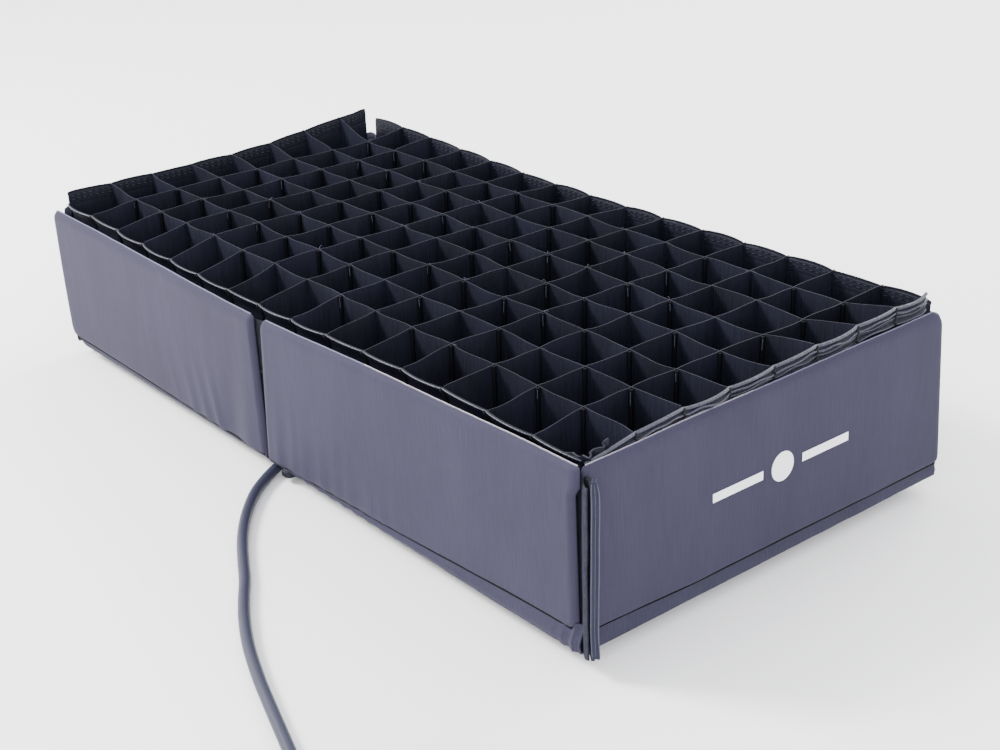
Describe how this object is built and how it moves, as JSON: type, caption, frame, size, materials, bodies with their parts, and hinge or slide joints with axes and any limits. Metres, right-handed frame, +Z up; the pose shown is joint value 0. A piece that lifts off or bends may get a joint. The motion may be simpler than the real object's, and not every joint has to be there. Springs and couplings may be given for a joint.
{
  "type": "strip softbox",
  "caption": "Rectangular folding strip softbox with stiff cloth walls, an egg-crate grid and a diffuser, lying on its back on a flat light mat with a cross frame and a lead.",
  "frame": {"origin": "on the surface the softbox lies on, under the middle of its outline without the cord", "axes": "+X along the box towards the right end panel, +Y from the near long wall to the far one, +Z up out of the grid"},
  "size_m": [0.8099, 0.5739, 0.141],
  "materials": {
    "wall_cloth": "slate polyester with a fine upright weave",
    "stiffener_board": "grey-white fibre board",
    "rim_cloth": "folded slate polyester",
    "gusset_cloth": "soft dark polyester",
    "hook_tape": "hook-and-loop tape, matt",
    "flange_binding": "ribbed binding tape",
    "led_mat_face": "coated light mat face",
    "mat_back": "black nylon",
    "spring_bar": "satin spring steel",
    "metal": "satin anodised",
    "rubber": "matt black",
    "pocket_cloth": "black nylon webbing",
    "diffuser_white": "white translucent cloth",
    "grid_cloth": "black cloth with a faint sheen",
    "hem_cloth": "charcoal binding with stitched lines",
    "box_plastic": "black moulded",
    "cord_jacket": "grey satin jacket"
  },
  "bodies": {
    "mat": {"cable_coil": "cord_jacket", "cable_lead": "cord_jacket", "cable_tail": "cord_jacket", "cap_left_near": "rubber", "cap_right_far": "rubber", "coil_tie": "pocket_cloth", "edge_tab": "rubber", "fixed_bar": "spring_bar", "hub_barrel": "metal", "hub_plate": "metal", "hub_washer": "metal", "junction_box": "box_plastic", "junction_lid": "box_plastic", "led_mat": "led_mat_face", "mat_back_cloth": "mat_back", "mat_hook_border": "hook_tape", "plug_body": "metal", "pocket_left_far": "pocket_cloth", "pocket_left_near": "pocket_cloth", "pocket_right_far": "pocket_cloth", "pocket_right_near": "pocket_cloth", "strain_relief": "rubber"},
    "cross_bar": {"swing_bar": "spring_bar", "cap_right_near": "rubber", "cap_left_far": "rubber"},
    "diffuser": {"diffuser_cloth": "diffuser_white", "diffuser_hem": "hem_cloth"},
    "grid": {"grid_lattice": "grid_cloth", "grid_hem_near": "hem_cloth", "grid_hem_far": "hem_cloth", "grid_hem_left": "hem_cloth", "grid_hem_right": "hem_cloth"},
    "coupling_ring": {"coupling_ring": "metal"},
    "near_left": {"near_left_board": "stiffener_board", "near_left_cover": "wall_cloth", "near_left_rim": "rim_cloth", "near_fold_gusset": "gusset_cloth"},
    "near_right": {"near_right_board": "stiffener_board", "near_right_cover": "wall_cloth", "near_right_rim": "rim_cloth", "hook_flange": "hook_tape"},
    "far_left": {"far_left_board": "stiffener_board", "far_left_cover": "wall_cloth", "far_left_rim": "rim_cloth", "far_fold_gusset": "gusset_cloth"},
    "far_right": {"far_right_board": "stiffener_board", "far_right_cover": "wall_cloth", "far_right_rim": "rim_cloth", "right_far_gusset": "gusset_cloth"},
    "left_end": {"left_end_board": "stiffener_board", "left_end_cover": "wall_cloth", "left_end_rim": "rim_cloth", "left_near_gusset": "gusset_cloth", "left_far_gusset": "gusset_cloth"},
    "right_end": {"right_end_board": "stiffener_board", "right_end_cover": "wall_cloth", "right_end_rim": "rim_cloth", "loop_flange": "flange_binding"}
  },
  "joints": [
    {"name": "cross_bar_scissor", "type": "hinge", "parent": "mat", "child": "cross_bar", "pos_m": [-0.0052, 0.00165, 0.0035], "axis": [0, 0, 1], "range_deg": [0, 45]},
    {"name": "shell_lift", "type": "slide", "parent": "mat", "child": "left_end", "axis": [0, 0, 1], "range_m": [0, 0.15]},
    {"name": "near_corner_hinge", "type": "hinge", "parent": "left_end", "child": "near_left", "pos_m": [-0.3225, -0.15865, 0.07], "axis": [0, 0, -1], "range_deg": [0, 90]},
    {"name": "near_fold_hinge", "type": "hinge", "parent": "near_left", "child": "near_right", "pos_m": [-0.0132, -0.16335, 0.07], "axis": [0, 0, -1], "range_deg": [0, 170]},
    {"name": "far_corner_hinge", "type": "hinge", "parent": "left_end", "child": "far_left", "pos_m": [-0.3225, 0.16195, 0.07], "axis": [0, 0, 1], "range_deg": [0, 90]},
    {"name": "far_fold_hinge", "type": "hinge", "parent": "far_left", "child": "far_right", "pos_m": [-0.0132, 0.16665, 0.07], "axis": [0, 0, 1], "range_deg": [0, 170]},
    {"name": "right_corner_hinge", "type": "hinge", "parent": "far_right", "child": "right_end", "pos_m": [0.3121, 0.16195, 0.07], "axis": [0, 0, 1], "range_deg": [0, 90]},
    {"name": "diffuser_lift", "type": "slide", "parent": "left_end", "child": "diffuser", "axis": [0, 0, 1], "range_m": [0, 0.12]},
    {"name": "grid_lift", "type": "slide", "parent": "diffuser", "child": "grid", "axis": [0, 0, 1], "range_m": [0, 0.12]},
    {"name": "coupling_ring_turn", "type": "hinge", "parent": "mat", "child": "coupling_ring", "pos_m": [0.4388, -0.38835, 0.0105], "axis": [0.9703, -0.2419, 0], "continuous": true}
  ]
}
